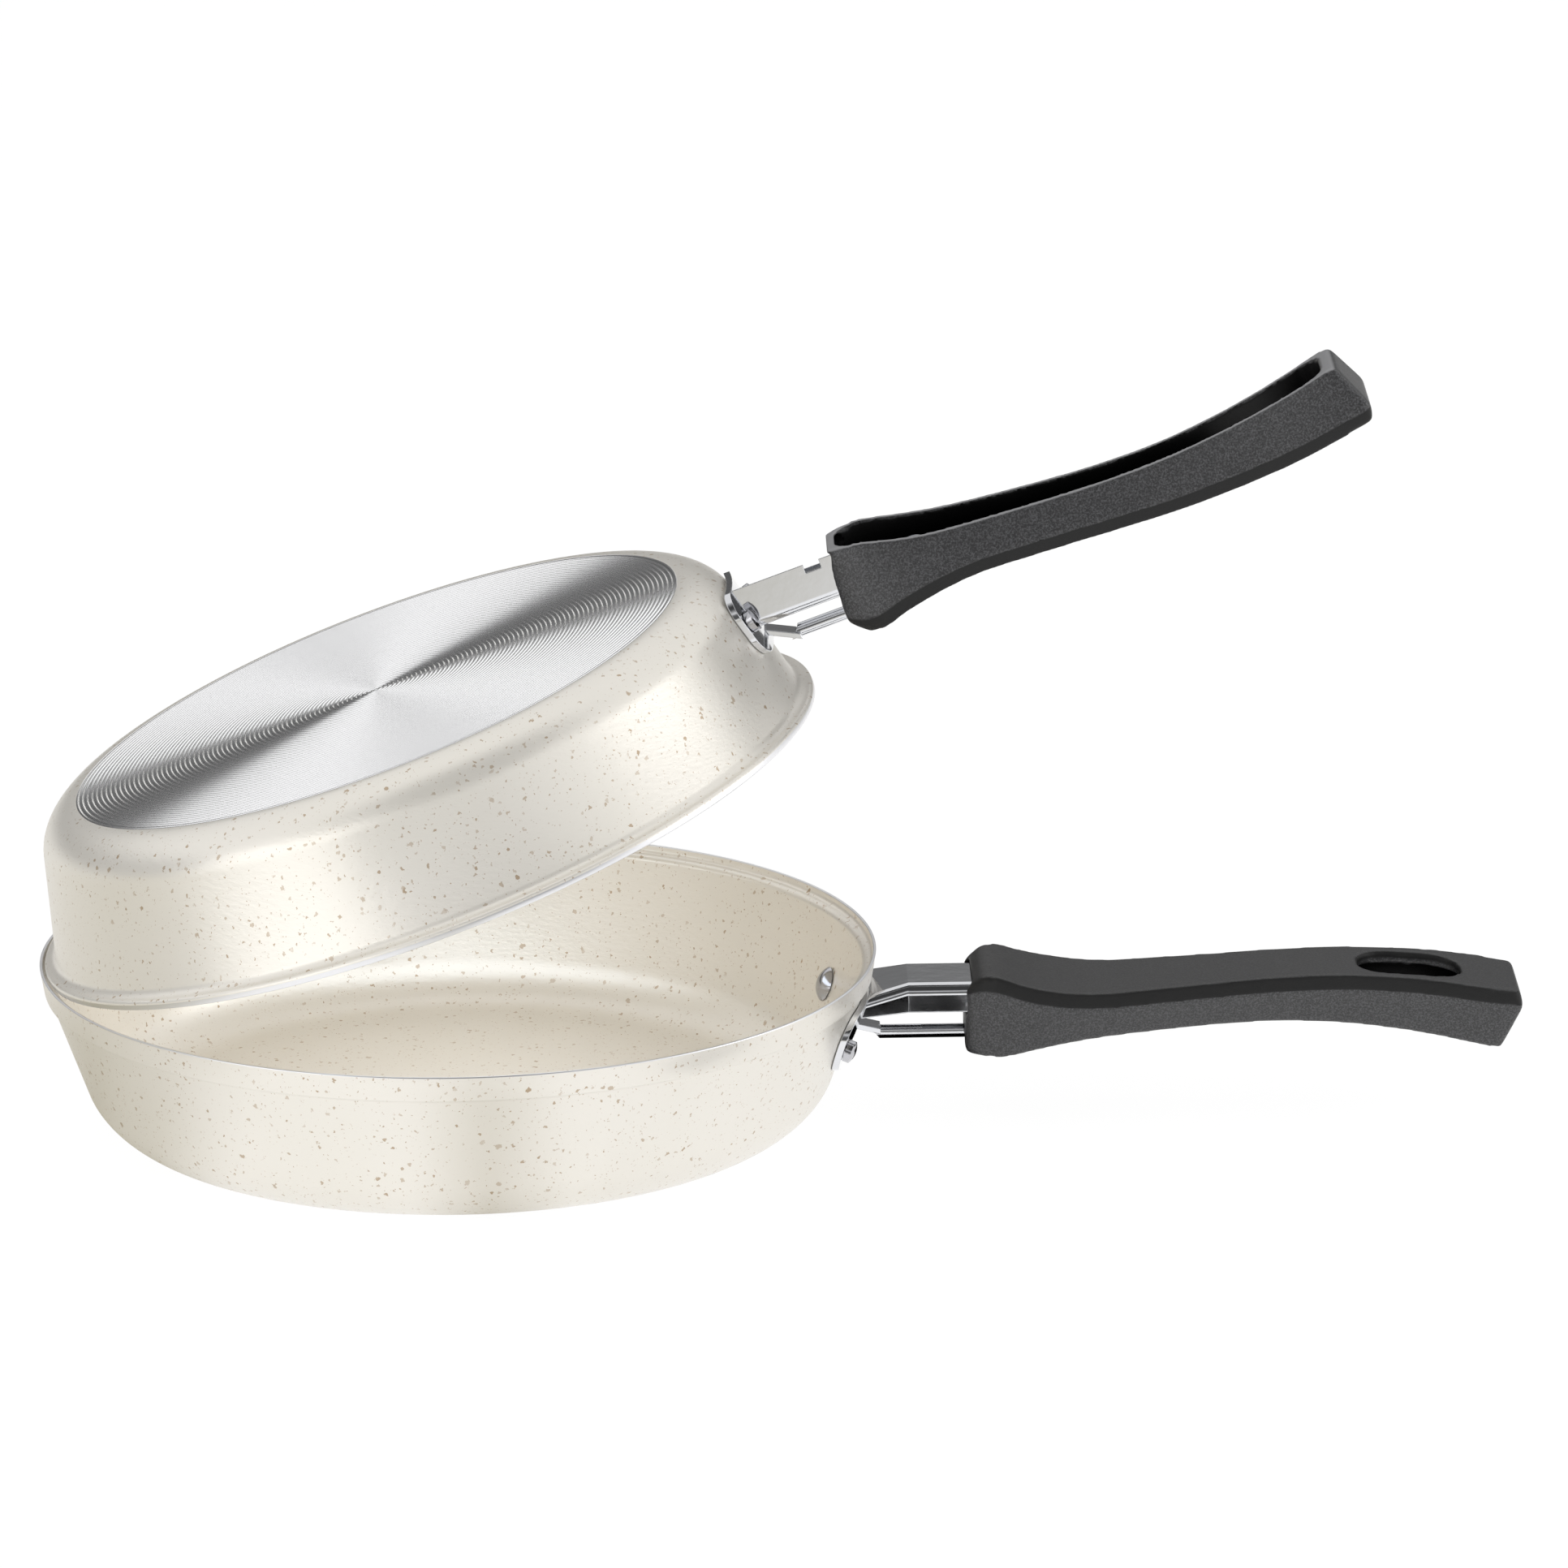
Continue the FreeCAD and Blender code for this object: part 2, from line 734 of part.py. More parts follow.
pan_makers = {"lower": make_lower_pan, "upper": make_upper_pan}
part_count = 0
for pan in (lower, upper):
    pieces = {
        "pan": pan_makers[pan.name](),
        "mounting_plate": make_plate(pan),
        "stem_channel": make_channel(pan),
        "support_rod": make_rod(pan),
        "tang": make_tang(pan),
        "grip": make_grip(pan),
        "threaded_insert": make_insert(pan),
        "washer": make_washer(pan),
        "grip_screw": make_screw(pan),
    }
    for rivet_name, (y, z) in pan.rivets.items():
        pieces[rivet_name] = make_rivet(pan, y, z)
    for piece_name, piece in pieces.items():
        node = pan.name + "_" + piece_name
        placed = stand(pan, piece)
        placed.exportStep("parts/" + node + ".step")
        part_count += 1
        print(node, len(placed.Solids), "solids", round(placed.Volume, 1), "mm3", placed.isValid())
print(part_count, "nodes")
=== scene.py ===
import json
import math

import bmesh
import bpy
from mathutils import Matrix, Vector


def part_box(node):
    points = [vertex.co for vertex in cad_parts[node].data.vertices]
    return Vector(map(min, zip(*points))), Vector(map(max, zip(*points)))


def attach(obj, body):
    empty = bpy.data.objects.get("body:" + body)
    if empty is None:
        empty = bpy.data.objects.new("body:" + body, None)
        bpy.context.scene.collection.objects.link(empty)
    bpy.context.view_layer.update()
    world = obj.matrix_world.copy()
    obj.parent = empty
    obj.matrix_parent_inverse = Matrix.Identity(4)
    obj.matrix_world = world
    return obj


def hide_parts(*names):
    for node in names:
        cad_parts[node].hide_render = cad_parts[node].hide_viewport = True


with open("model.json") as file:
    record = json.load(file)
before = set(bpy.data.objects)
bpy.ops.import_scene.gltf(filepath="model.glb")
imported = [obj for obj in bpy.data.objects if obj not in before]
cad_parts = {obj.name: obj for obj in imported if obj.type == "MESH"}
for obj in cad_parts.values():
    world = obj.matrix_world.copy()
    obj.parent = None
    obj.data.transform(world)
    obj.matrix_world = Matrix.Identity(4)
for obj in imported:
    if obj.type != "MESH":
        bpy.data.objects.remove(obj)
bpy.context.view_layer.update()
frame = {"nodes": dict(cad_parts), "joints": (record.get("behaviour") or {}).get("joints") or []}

MM = 0.001

# Lower pan.
# One disc of aluminium, pressed to a shallow bowl with a stepped band at its rim and sprayed
# inside and out with an ivory ceramic coating. The rim's edge and the base are bare metal.
# The base's rings are drawn coarser than real turning, and lean more in the material than in
# the mesh, so that they show.
pan_wall = 2.4 * MM
base_wall = 3.2 * MM
edge_break = 0.25 * MM
bare_inset = 0.1 * MM
lower_bare_depth = 0.35 * MM
lower_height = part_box("lower_pan")[1].z
lower_rim_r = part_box("lower_pan")[1].x
lower_lean = math.radians(19.7)
lower_corner_r = 17.8 * MM
lower_inner_r = 15.0 * MM
band_depth = 6.4 * MM
band_taper = 1.1 * MM
band_step = 1.0 * MM
rim_wall = 0.8 * MM
nest_depth = 2.15 * MM
ledge_width = 2.9 * MM
ring_pitch = 1.2 * MM
ring_depth = 0.10 * MM
ring_slope = 0.85
around_steps = 192
arc_step = 0.8 * MM
merge_gap = 0.01 * MM


def linear(code):
    """An sRGB hex colour as the linear colour that a shader takes."""
    values = [int(code[n:n + 2], 16) / 255 for n in (0, 2, 4)]
    values = [v / 12.92 if v <= 0.04045 else ((v + 0.055) / 1.055) ** 2.4 for v in values]
    return (*values, 1.0)


def add(tree, kind, settings=None, links=None):
    """Adds a node; settings are properties or socket values, links are socket: other output."""
    made = tree.nodes.new(kind)
    for key, value in (settings or {}).items():
        if isinstance(key, str) and hasattr(made, key):
            setattr(made, key, value)
        else:
            made.inputs[key].default_value = value
    for key, source in (links or {}).items():
        tree.links.new(source, made.inputs[key])
    return made


def new_finish(name):
    """An empty material: the material, its tree, its surface socket and Object coordinates."""
    finish = bpy.data.materials.new(name)
    finish.use_nodes = True
    tree = finish.node_tree
    tree.nodes.clear()
    surface = add(tree, "ShaderNodeOutputMaterial").inputs["Surface"]
    place = add(tree, "ShaderNodeTexCoord").outputs["Object"]
    return finish, tree, surface, place


def fill_ramp(ramp, stops):
    """Sets a colour ramp's stops to grey levels."""
    while len(ramp.elements) > 1:
        ramp.elements.remove(ramp.elements[0])
    for index, (place, level) in enumerate(stops):
        stop = ramp.elements.new(place) if index else ramp.elements[0]
        stop.position = place
        stop.color = (level, level, level, 1)


def ceramic_coating():
    """Sprayed sol-gel ceramic: a satin that its mica makes pearly, so it is part metallic, with
    faint orange peel and three sizes of speck."""
    finish, tree, surface, place = new_finish("sprayed_ivory_ceramic")
    drift = add(tree, "ShaderNodeTexNoise", {"Scale": 1100.0, "Detail": 2.0}, {"Vector": place})
    shift = add(tree, "ShaderNodeVectorMath", {"operation": "SCALE", "Scale": 1.6 * MM},
                {0: drift.outputs["Color"]})
    moved = add(tree, "ShaderNodeVectorMath", {"operation": "ADD"},
                {0: place, 1: shift.outputs[0]}).outputs[0]
    masks = []
    for spacing, reach, rarity in ((1.9, 0.28, 0.20), (0.85, 0.25, 0.20), (3.8, 0.19, 0.55)):
        cells = add(tree, "ShaderNodeTexVoronoi",
                    {"Scale": 1 / (spacing * MM), "Randomness": 1.0}, {"Vector": moved})
        parts = add(tree, "ShaderNodeSeparateColor", None, {"Color": cells.outputs["Color"]})
        size = add(tree, "ShaderNodeMapRange",
                   {"From Min": rarity, "From Max": 1.0, "To Min": 0.0, "To Max": reach},
                   {"Value": parts.outputs["Red"]})
        gap = add(tree, "ShaderNodeMath", {"operation": "SUBTRACT"},
                  {0: size.outputs[0], 1: cells.outputs["Distance"]})
        spot = add(tree, "ShaderNodeMapRange",
                   {"From Min": -0.01, "From Max": 0.03, "To Min": 0.0, "To Max": 1.0},
                   {"Value": gap.outputs[0]})
        strength = add(tree, "ShaderNodeMapRange",
                       {"From Min": 0.0, "From Max": 1.0, "To Min": 0.30, "To Max": 0.8},
                       {"Value": parts.outputs["Green"]})
        masks.append(add(tree, "ShaderNodeMath", {"operation": "MULTIPLY"},
                         {0: spot.outputs[0], 1: strength.outputs[0]}).outputs[0])
    most = add(tree, "ShaderNodeMath", {"operation": "MAXIMUM"}, {0: masks[0], 1: masks[1]})
    most = add(tree, "ShaderNodeMath", {"operation": "MAXIMUM"}, {0: most.outputs[0], 1: masks[2]})
    cloud = add(tree, "ShaderNodeTexNoise", {"Scale": 22.0, "Detail": 3.0}, {"Vector": place})
    ground = add(tree, "ShaderNodeMix",
                 {"data_type": "RGBA", 6: linear("E9E5DB"), 7: linear("F0ECE5")},
                 {0: cloud.outputs["Fac"]})
    colour = add(tree, "ShaderNodeMix", {"data_type": "RGBA", 7: linear("A88B66")},
                 {0: most.outputs[0], 6: ground.outputs[2]})
    drawn = add(tree, "ShaderNodeVectorMath", {"operation": "MULTIPLY", 1: (1.0, 1.0, 2.4)},
                {0: place})
    peel = add(tree, "ShaderNodeTexNoise", {"Scale": 420.0, "Detail": 3.0, "Roughness": 0.6},
               {"Vector": drawn.outputs[0]})
    bump = add(tree, "ShaderNodeBump", {"Strength": 0.22, "Distance": 0.3 * MM},
               {"Height": peel.outputs["Fac"]})
    skin = add(tree, "ShaderNodeBsdfPrincipled",
               {"Roughness": 0.34, "IOR": 1.5, "Metallic": 0.42},
               {"Base Color": colour.outputs[2], "Normal": bump.outputs[0]})
    tree.links.new(skin.outputs[0], surface)
    return finish


def plain_metal(name, colour, smoothest, roughest, grain, detail):
    """A metal of one colour, whose roughness varies with a fine grain (its scale per metre)."""
    finish, tree, surface, place = new_finish(name)
    marks = add(tree, "ShaderNodeTexNoise", {"Scale": grain, "Detail": detail}, {"Vector": place})
    rough = add(tree, "ShaderNodeMapRange", {"To Min": smoothest, "To Max": roughest},
                {"Value": marks.outputs["Fac"]})
    metal = add(tree, "ShaderNodeBsdfPrincipled", {"Base Color": linear(colour), "Metallic": 1.0},
                {"Roughness": rough.outputs[0]})
    tree.links.new(metal.outputs[0], surface)
    return finish


def turned_aluminium(name, placing):
    """A lathe-turned base: bright aluminium with reflections drawn out across its fine rings."""
    finish, tree, surface, place = new_finish(name)
    local = add(tree, "ShaderNodeVectorMath",
                {"operation": "SUBTRACT", 1: placing.to_translation()}, {0: place})
    lift = add(tree, "ShaderNodeVectorMath",
               {"operation": "PROJECT", 1: placing.to_3x3() @ Vector((0, 0, 1))},
               {0: local.outputs[0]})
    spoke = add(tree, "ShaderNodeVectorMath", {"operation": "SUBTRACT"},
                {0: local.outputs[0], 1: lift.outputs[0]})
    reach = add(tree, "ShaderNodeVectorMath", {"operation": "LENGTH"}, {0: spoke.outputs[0]})
    turned = add(tree, "ShaderNodeVectorTransform",
                 {"vector_type": "VECTOR", "convert_from": "OBJECT", "convert_to": "WORLD"},
                 {0: spoke.outputs[0]})
    outwards = add(tree, "ShaderNodeVectorMath", {"operation": "NORMALIZE"},
                   {0: turned.outputs[0]})
    phase = add(tree, "ShaderNodeMath", {"operation": "MULTIPLY", 1: math.tau / ring_pitch},
                {0: reach.outputs["Value"]})
    wave = add(tree, "ShaderNodeMath", {"operation": "SINE"}, {0: phase.outputs[0]})
    tilt = add(tree, "ShaderNodeMath", {"operation": "MULTIPLY", 1: ring_slope},
               {0: wave.outputs[0]})
    lean = add(tree, "ShaderNodeVectorMath", {"operation": "SCALE"},
               {0: outwards.outputs[0], "Scale": tilt.outputs[0]})
    flat = add(tree, "ShaderNodeNewGeometry")
    normal = add(tree, "ShaderNodeVectorMath", {"operation": "ADD"},
                 {0: flat.outputs["Normal"], 1: lean.outputs[0]})
    normal = add(tree, "ShaderNodeVectorMath", {"operation": "NORMALIZE"}, {0: normal.outputs[0]})
    lines = add(tree, "ShaderNodeMath", {"operation": "MULTIPLY", 1: 1 / (0.35 * MM)},
                {0: reach.outputs["Value"]})
    fine = add(tree, "ShaderNodeTexNoise",
               {"noise_dimensions": "1D", "Scale": 1.0, "Detail": 2.0}, {"W": lines.outputs[0]})
    rough = add(tree, "ShaderNodeMapRange", {"To Min": 0.20, "To Max": 0.26},
                {"Value": fine.outputs["Fac"]})
    metal = add(tree, "ShaderNodeBsdfPrincipled",
                {"Base Color": linear("FAFAFB"), "Metallic": 1.0, "Anisotropic": 0.8},
                {"Roughness": rough.outputs[0], "Tangent": outwards.outputs[0],
                 "Normal": normal.outputs[0]})
    tree.links.new(metal.outputs[0], surface)
    return finish


def base_rings(radius):
    """The base's half section, from its middle outwards: one shallow groove each ring pitch."""
    count = int(radius / ring_pitch)
    corners = [(0, 0, 0)]
    for ring in range(1, count):
        corners.append((ring * ring_pitch, 0, 0))
        corners.append(((ring + 0.5) * ring_pitch, ring_depth, 0))
    return corners


def spin_pan(name, corners, placing, base_r, bare_z, bare_r):
    """Turns a half section of (radius, height, rounding) corners about Z, each corner rounded,
    and gives the base, the rim's bare edge and the rest their own material indices."""
    work = bmesh.new()
    points = [work.verts.new((r, 0, z)) for r, z, rounding in corners]
    for first, second in zip(points, points[1:]):
        work.edges.new((first, second))
    for index, (r, z, rounding) in enumerate(corners):
        if rounding:
            here = Vector((r, 0, z))
            back = Vector((corners[index - 1][0], 0, corners[index - 1][1])) - here
            on = Vector((corners[index + 1][0], 0, corners[index + 1][1])) - here
            reach = rounding / math.tan(back.angle(on) / 2)
            steps = max(3, round(rounding / arc_step))
            bmesh.ops.bevel(work, geom=[points[index]], offset=reach, segments=steps,
                            profile=0.5, affect="VERTICES", material=-1, clamp_overlap=False)
    half = list(work.verts) + list(work.edges)
    bmesh.ops.spin(work, geom=half, cent=(0, 0, 0), axis=(0, 0, 1), angle=math.tau,
                   steps=around_steps, use_merge=True, use_duplicate=False)
    bmesh.ops.remove_doubles(work, verts=work.verts, dist=merge_gap)
    bmesh.ops.recalc_face_normals(work, faces=work.faces)
    for face in work.faces:
        middle = face.calc_center_median()
        radius = middle.xy.length
        face.smooth = True
        if middle.z < ring_depth and radius < base_r:
            face.material_index = 1
        elif middle.z > bare_z and radius > bare_r:
            face.material_index = 2
    bmesh.ops.transform(work, matrix=placing, verts=work.verts)
    bmesh.ops.recalc_face_normals(work, faces=work.faces)
    mesh = bpy.data.meshes.new(name)
    work.to_mesh(mesh)
    work.free()
    piece = bpy.data.objects.new(name, mesh)
    bpy.context.scene.collection.objects.link(piece)
    return piece


def wall_line(top_r, top_z, lean, z, offset=0.0):
    """The radius of a leaning wall at a height, moved outwards by an offset normal to it."""
    return top_r - (top_z - z) * math.tan(lean) + offset / math.cos(lean)


coating = ceramic_coating()
# The rims' edges are cut back to bright aluminium, with fine scratches and no coating.
bare_edge = plain_metal("bare_cut_aluminium", "E6E6E8", 0.28, 0.44, 1400.0, 3.0)
stand_still = Matrix.Identity(4)

lower_top = (lower_rim_r - band_taper - band_step, lower_height - band_depth)
lower_foot_r = wall_line(*lower_top, lower_lean, 0)
lower_base_r = lower_foot_r - lower_corner_r * math.tan((math.pi / 2 - lower_lean) / 2)
lower_bore_r = lower_rim_r - rim_wall
lower_ledge_z = lower_height - nest_depth
lower_ledge_r = lower_bore_r - ledge_width
lower_inner = wall_line(*lower_top, lower_lean, 0, -pan_wall)
ledge_foot_z = (lower_ledge_r - lower_inner) / math.tan(lower_lean)
lower_section = base_rings(lower_base_r) + [
    (lower_foot_r, 0, lower_corner_r),
    (*lower_top, 0.8 * MM),
    (lower_rim_r - band_taper, lower_top[1], 0.7 * MM),
    (lower_rim_r, lower_height, edge_break),
    (lower_bore_r, lower_height, edge_break),
    (lower_bore_r, lower_ledge_z, 1.1 * MM),
    (lower_ledge_r, lower_ledge_z, 2.0 * MM),
    (lower_ledge_r, ledge_foot_z, 0),
    (wall_line(*lower_top, lower_lean, base_wall, -pan_wall), base_wall, lower_inner_r),
    (0, base_wall, 0),
]
lower_pan = spin_pan("lower_coated_pan", lower_section, stand_still, lower_base_r,
                     lower_height - lower_bare_depth, lower_bore_r - bare_inset)
for finish in (coating, turned_aluminium("lathe_turned_base", stand_still), bare_edge):
    lower_pan.data.materials.append(finish)
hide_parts("lower_pan")
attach(lower_pan, "lower")

# Upper pan.
# The same kind of pressing, a little smaller, with a short skirt that drops into the lower
# rim's band. It stands tipped open on the band's ledge, opposite the handles.
hinge = frame["joints"][0]
pivot = Vector(hinge["pos_m"])
rest_open = math.radians(-hinge["range_deg"][0])
upper_height = 37.2 * MM
upper_lean = math.radians(14.9)
upper_corner_r = 12.2 * MM
upper_inner_r = 11.0 * MM
flange_r = 99.7 * MM
flange_width = 3.2 * MM
flange_fillet_r = 2.4 * MM
skirt_height = 2.2 * MM
skirt_edge_r = 0.9 * MM
mouth_edge = 2.0 * MM
mouth_depth = 2.4 * MM
upper_bare_depth = 0.9 * MM
rest_slide = -pivot.x - flange_r

turn_over = Matrix.Rotation(math.pi, 4, "X")
lie_closed = Matrix.Translation((-rest_slide, 0, pivot.z + upper_height))
tip_open = Matrix.Rotation(rest_open, 4, (0, -1, 0))
upper_place = (Matrix.Translation(pivot) @ tip_open @ Matrix.Translation(-pivot)
               @ lie_closed @ turn_over)

upper_top = (flange_r - flange_width, upper_height - skirt_height)
upper_foot_r = wall_line(*upper_top, upper_lean, 0)
upper_base_r = upper_foot_r - upper_corner_r * math.tan((math.pi / 2 - upper_lean) / 2)
mouth_z = upper_height - mouth_depth
upper_section = base_rings(upper_base_r) + [
    (upper_foot_r, 0, upper_corner_r),
    (*upper_top, flange_fillet_r),
    (flange_r, upper_top[1], skirt_edge_r),
    (flange_r, upper_height, edge_break),
    (flange_r - mouth_edge, upper_height, 0.4 * MM),
    (wall_line(*upper_top, upper_lean, mouth_z, -pan_wall), mouth_z, 0),
    (wall_line(*upper_top, upper_lean, base_wall, -pan_wall), base_wall, upper_inner_r),
    (0, base_wall, 0),
]
upper_pan = spin_pan("upper_coated_pan", upper_section, upper_place, upper_base_r,
                     upper_height - upper_bare_depth, flange_r - mouth_edge - bare_inset)
for finish in (coating, turned_aluminium("lathe_turned_tilted_base", upper_place), bare_edge):
    upper_pan.data.materials.append(finish)
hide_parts("upper_pan")
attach(upper_pan, "upper")


# Plates, stem channels and support rods.
# Steel sheet and wire, pressed and cut to shape, spot-welded together and plated with bright
# chrome, which mirrors its surroundings with a faint waviness from the pressing.
def chrome_plate():
    """Bright chrome on steel: a near mirror with a little waviness and a few dull patches."""
    finish, tree, surface, place = new_finish("bright_chrome_plate")
    soft_edge = add(tree, "ShaderNodeBevel", {"samples": 6, "Radius": 0.35 * MM})
    waves = add(tree, "ShaderNodeTexNoise", {"Scale": 260.0, "Detail": 2.0}, {"Vector": place})
    bump = add(tree, "ShaderNodeBump", {"Strength": 0.06, "Distance": 0.4 * MM},
               {"Height": waves.outputs["Fac"], "Normal": soft_edge.outputs[0]})
    patches = add(tree, "ShaderNodeTexNoise", {"Scale": 90.0, "Detail": 4.0}, {"Vector": place})
    rough = add(tree, "ShaderNodeMapRange", {"To Min": 0.05, "To Max": 0.11},
                {"Value": patches.outputs["Fac"]})
    metal = add(tree, "ShaderNodeBsdfPrincipled",
                {"Base Color": linear("D4D5D8"), "Metallic": 1.0},
                {"Roughness": rough.outputs[0], "Normal": bump.outputs[0]})
    tree.links.new(metal.outputs[0], surface)
    return finish


def paint_node(node, finish):
    """Gives a carried-over CAD node one finish."""
    materials = frame["nodes"][node].data.materials
    materials.clear()
    materials.append(finish)


chrome = chrome_plate()
for pan_name in ("lower", "upper"):
    for part in ("mounting_plate", "stem_channel", "support_rod"):
        paint_node(f"{pan_name}_{part}", chrome)


# Rivets.
# Solid aluminium rivets, domed inside the pan and set to a small drum outside. The heads are
# bright from the punch, with fine scuffs.
rivet_metal = plain_metal("polished_rivet_aluminium", "B8B8BC", 0.10, 0.22, 1100.0, 3.0)
for node in frame["nodes"]:
    if "_rivet_" in node:
        paint_node(node, rivet_metal)


# Tangs, washers and screws.
# Mild steel with a bright zinc plate, which is greyer and duller than the chrome.
def zinc_plate():
    """Electroplated zinc: pale bluish grey with a crystal grain, drawn coarse so that it shows."""
    finish, tree, surface, place = new_finish("bright_zinc_plate")
    grain = add(tree, "ShaderNodeTexNoise", {"Scale": 900.0, "Detail": 4.0}, {"Vector": place})
    rough = add(tree, "ShaderNodeMapRange", {"To Min": 0.28, "To Max": 0.48},
                {"Value": grain.outputs["Fac"]})
    tone = add(tree, "ShaderNodeMix",
               {"data_type": "RGBA", 6: linear("A9ADB3"), 7: linear("C6C9CD")},
               {0: grain.outputs["Fac"]})
    metal = add(tree, "ShaderNodeBsdfPrincipled", {"Metallic": 1.0},
                {"Base Color": tone.outputs[2], "Roughness": rough.outputs[0]})
    tree.links.new(metal.outputs[0], surface)
    return finish


zinc = zinc_plate()
for pan_name in ("lower", "upper"):
    for part in ("tang", "washer", "grip_screw"):
        paint_node(f"{pan_name}_{part}", zinc)


# Threaded inserts.
# Barrels of free-cutting brass, moulded into the grips' bosses: warm yellow with fine turning
# marks.
brass = plain_metal("turned_brass", "C9A35B", 0.22, 0.36, 2500.0, 2.0)
for pan_name in ("lower", "upper"):
    paint_node(f"{pan_name}_threaded_insert", brass)


# Grips.
# Black phenolic resin, compression moulded hollow with a slot near the tail. The mould's edges
# are slightly round, and the wood-filled resin sparkles with a fine grain.
eased_end = 7.5 * MM
all_turns = 5
end_turns = 18


def black_phenolic(name, up):
    """Moulded phenolic: charcoal black with a pale grain on its sides, drawn about 0.5 mm coarse
    so that it shows. Faces that tilt towards the closed side, along its edges and in part on its
    top, are smoother, less shiny and painted darker as shade; faces turned away from it, as on the
    hollow's trimmed rim, are painted paler as a highlight; occlusion paints shade into the hollow."""
    finish, tree, surface, place = new_finish(name)
    shape = add(tree, "ShaderNodeNewGeometry")
    turned = add(tree, "ShaderNodeVectorTransform",
                 {"vector_type": "NORMAL", "convert_from": "WORLD", "convert_to": "OBJECT"},
                 {0: shape.outputs["Normal"]})
    facing = add(tree, "ShaderNodeVectorMath", {"operation": "DOT_PRODUCT", 1: up},
                 {0: turned.outputs[0]})
    along = add(tree, "ShaderNodeMapRange", {"From Min": -1.0, "From Max": 1.0},
                {"Value": facing.outputs["Value"]})
    # Faces that tilt towards the closed side are painted darker as shade: fully along the edges,
    # 0.6 of it on the top.
    painted_shade_faces = add(tree, "ShaderNodeValToRGB", None, {0: along.outputs[0]})
    fill_ramp(painted_shade_faces.color_ramp, (
        (0.0, 0.0), (0.47, 0.0), (0.52, 1.0), (0.90, 1.0), (0.95, 0.6), (1.0, 0.6)))
    # Faces turned away from the closed side, as on the hollow's rim, are painted paler as a
    # highlight.
    rim = add(tree, "ShaderNodeMapRange", {"From Min": 0.12, "From Max": 0.02},
              {"Value": along.outputs[0]})
    grit = add(tree, "ShaderNodeTexNoise", {"Scale": 2200.0, "Detail": 2.0, "Roughness": 0.7},
               {"Vector": place})
    fleck = add(tree, "ShaderNodeMapRange", {"From Min": 0.42, "From Max": 0.66},
                {"Value": grit.outputs["Fac"]})
    side = add(tree, "ShaderNodeMix",
               {"data_type": "RGBA", 6: linear("2C2C2D"), 7: linear("545456")},
               {0: fleck.outputs[0]})
    # 292929 is the painted shade colour of those faces.
    tone = add(tree, "ShaderNodeMix", {"data_type": "RGBA", 7: linear("292929")},
               {0: painted_shade_faces.outputs[0], 6: side.outputs[2]})
    # 8E8E90 is the rim's painted highlight colour.
    tone = add(tree, "ShaderNodeMix", {"data_type": "RGBA", 7: linear("8E8E90")},
               {0: rim.outputs[0], 6: tone.outputs[2]})
    # Ambient occlusion paints shade into the hollow: it darkens the colour and the specular level
    # there.
    reach = add(tree, "ShaderNodeAmbientOcclusion", {"samples": 6, "Distance": 18 * MM})
    painted_hollow_shade = add(tree, "ShaderNodeMath", {"operation": "POWER", 1: 3.0}, {0: reach.outputs["AO"]})
    tone_with_painted_shade = add(tree, "ShaderNodeVectorMath", {"operation": "SCALE"},
                 {0: tone.outputs[2], "Scale": painted_hollow_shade.outputs[0]})
    shine = add(tree, "ShaderNodeMapRange", {"To Min": 0.5, "To Max": 0.15},
                {"Value": painted_shade_faces.outputs[0]})
    specular_with_painted_shade = add(tree, "ShaderNodeMath", {"operation": "MULTIPLY"},
                {0: painted_hollow_shade.outputs[0], 1: shine.outputs[0]})
    grain = add(tree, "ShaderNodeTexNoise", {"Scale": 1500.0, "Detail": 3.0, "Roughness": 0.7},
                {"Vector": place})
    bump = add(tree, "ShaderNodeBump", {"Strength": 0.35, "Distance": 0.15 * MM},
               {"Height": grain.outputs["Fac"]})
    resin = add(tree, "ShaderNodeBsdfPrincipled", {"Roughness": 0.42, "IOR": 1.5},
                {"Base Color": tone_with_painted_shade.outputs[0], "Specular IOR Level": specular_with_painted_shade.outputs[0],
                 "Normal": bump.outputs[0]})
    tree.links.new(resin.outputs[0], surface)
    return finish


def mould_grip(name, node, along):
    """A copy of a grip's CAD solid with its sharp edges eased, as a mould gives them, and more
    so at both ends."""
    work = bmesh.new()
    work.from_mesh(frame["nodes"][node].data)
    bmesh.ops.remove_doubles(work, verts=work.verts, dist=merge_gap / 2)
    rough_mesh = bpy.data.meshes.new(name + "_solid")
    work.to_mesh(rough_mesh)
    work.free()
    block = bpy.data.objects.new(name + "_solid", rough_mesh)
    bpy.context.scene.collection.objects.link(block)
    remesh = block.modifiers.new("even_faces", "REMESH")
    remesh.mode = "SMOOTH"
    remesh.octree_depth = 8
    remesh.scale = 0.98
    bpy.context.view_layer.update()
    even = bpy.data.meshes.new_from_object(
        block.evaluated_get(bpy.context.evaluated_depsgraph_get()))
    bpy.data.objects.remove(block)
    work = bmesh.new()
    work.from_mesh(even)
    places = [vert.co.dot(along) for vert in work.verts]
    front, tail = min(places) + eased_end, max(places) - eased_end
    ends = [vert for vert, place in zip(work.verts, places) if not front < place < tail]
    for verts, turns in ((work.verts, all_turns), (ends, end_turns)):
        for turn in range(turns):
            bmesh.ops.smooth_vert(work, verts=verts, factor=0.5,
                                  use_axis_x=True, use_axis_y=True, use_axis_z=True)
    for face in work.faces:
        face.smooth = True
    work.to_mesh(even)
    work.free()
    even.materials.clear()
    piece = bpy.data.objects.new(name, even)
    bpy.context.scene.collection.objects.link(piece)
    return piece


for pan_name, standing in (("lower", stand_still), ("upper", upper_place)):
    along, up = standing.to_3x3() @ Vector((1, 0, 0)), standing.to_3x3() @ Vector((0, 0, 1))
    grip = mould_grip(f"{pan_name}_moulded_grip", f"{pan_name}_grip", along)
    grip.data.materials.append(black_phenolic(f"{pan_name}_black_phenolic", up))
    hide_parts(f"{pan_name}_grip")
    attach(grip, pan_name)
